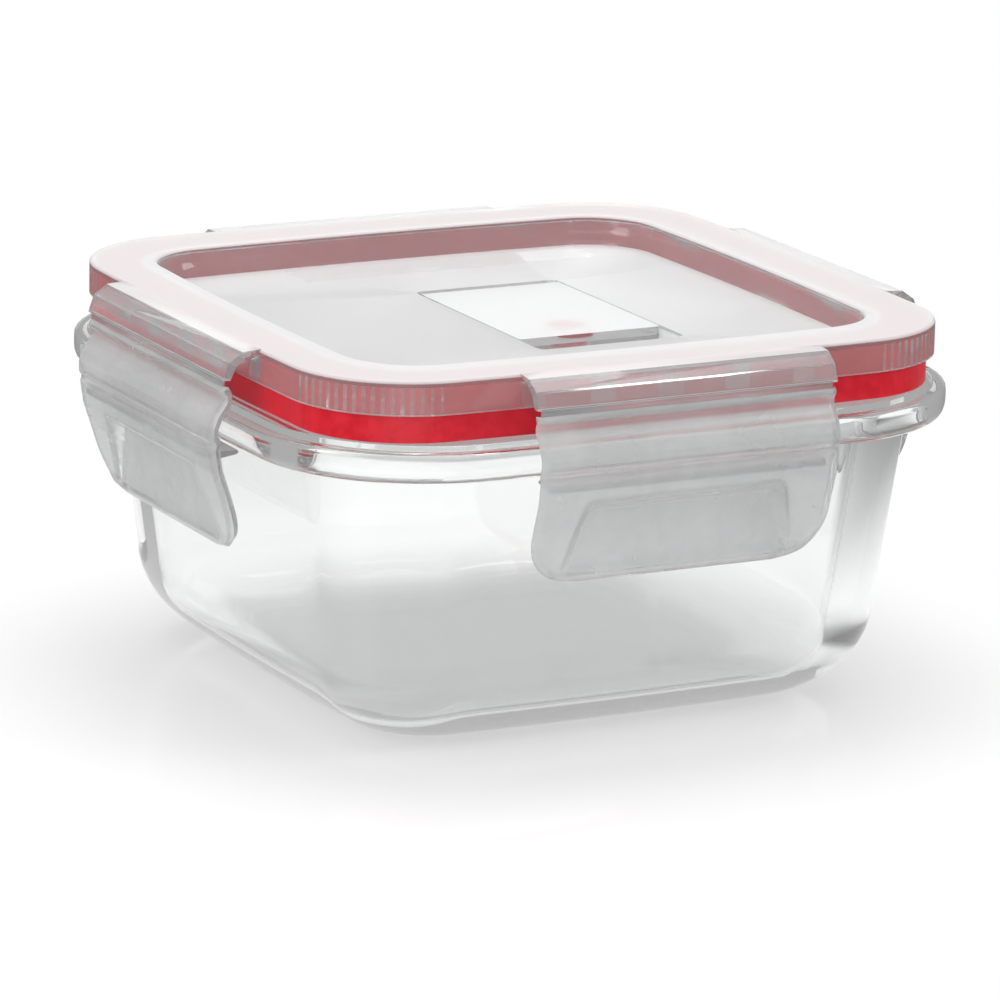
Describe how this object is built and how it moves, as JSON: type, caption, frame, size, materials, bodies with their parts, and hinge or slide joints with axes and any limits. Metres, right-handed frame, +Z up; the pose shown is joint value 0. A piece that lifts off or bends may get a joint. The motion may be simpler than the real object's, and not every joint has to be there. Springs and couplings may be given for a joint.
{
  "type": "glass storage container",
  "caption": "Square clear glass food container with a frosted clip-down lid, red sealing ring and a small vent cover.",
  "frame": {"origin": "centre of the underside of the dish", "axes": "+Z up; -Y is the front; the vent cover opens from its front end"},
  "size_m": [0.182, 0.182, 0.0892],
  "materials": {
    "glass": "polished, clear",
    "lid_plastic": "frosted, milky, with gloss walls",
    "latch_plastic": "satin, milky",
    "pin_plastic": "gloss",
    "silicone": "satin"
  },
  "bodies": {
    "dish": {"glass_dish": "glass"},
    "lid_body": {"lid": "lid_plastic", "lid_gasket": "silicone", "front_hinge_web": "latch_plastic", "back_hinge_web": "latch_plastic", "left_hinge_web": "latch_plastic", "right_hinge_web": "latch_plastic"},
    "front_latch_body": {"front_latch": "latch_plastic"},
    "back_latch_body": {"back_latch": "latch_plastic"},
    "left_latch_body": {"left_latch": "latch_plastic"},
    "right_latch_body": {"right_latch": "latch_plastic"},
    "vent_body": {"vent_cover": "lid_plastic", "vent_pin": "pin_plastic", "vent_seal": "silicone"}
  },
  "joints": [
    {"name": "lid_lift", "type": "slide", "parent": "dish", "child": "lid_body", "axis": [0, 0, 1], "range_m": [0, 0.018]},
    {"name": "front_latch_hinge", "type": "hinge", "parent": "lid_body", "child": "front_latch_body", "pos_m": [0, -0.0883, 0.082], "axis": [-1, 0, 0], "range_deg": [0, 144.4], "deforming": ["front_hinge_web"]},
    {"name": "back_latch_hinge", "type": "hinge", "parent": "lid_body", "child": "back_latch_body", "pos_m": [0, 0.0883, 0.082], "axis": [1, 0, 0], "range_deg": [0, 144.4], "deforming": ["back_hinge_web"]},
    {"name": "left_latch_hinge", "type": "hinge", "parent": "lid_body", "child": "left_latch_body", "pos_m": [-0.0883, 0, 0.082], "axis": [0, 1, 0], "range_deg": [0, 144.4], "deforming": ["left_hinge_web"]},
    {"name": "right_latch_hinge", "type": "hinge", "parent": "lid_body", "child": "right_latch_body", "pos_m": [0.0883, 0, 0.082], "axis": [0, -1, 0], "range_deg": [0, 144.4], "deforming": ["right_hinge_web"]},
    {"name": "vent_hinge", "type": "hinge", "parent": "lid_body", "child": "vent_body", "pos_m": [0.0105, 0.0283, 0.0804], "axis": [-1, 0, 0], "range_deg": [0, 100]}
  ],
  "couplings": [
    {"joint": "front_latch_hinge", "follows": "lid_lift", "rad_per_m": 140},
    {"joint": "back_latch_hinge", "follows": "lid_lift", "rad_per_m": 140},
    {"joint": "left_latch_hinge", "follows": "lid_lift", "rad_per_m": 140},
    {"joint": "right_latch_hinge", "follows": "lid_lift", "rad_per_m": 140}
  ]
}
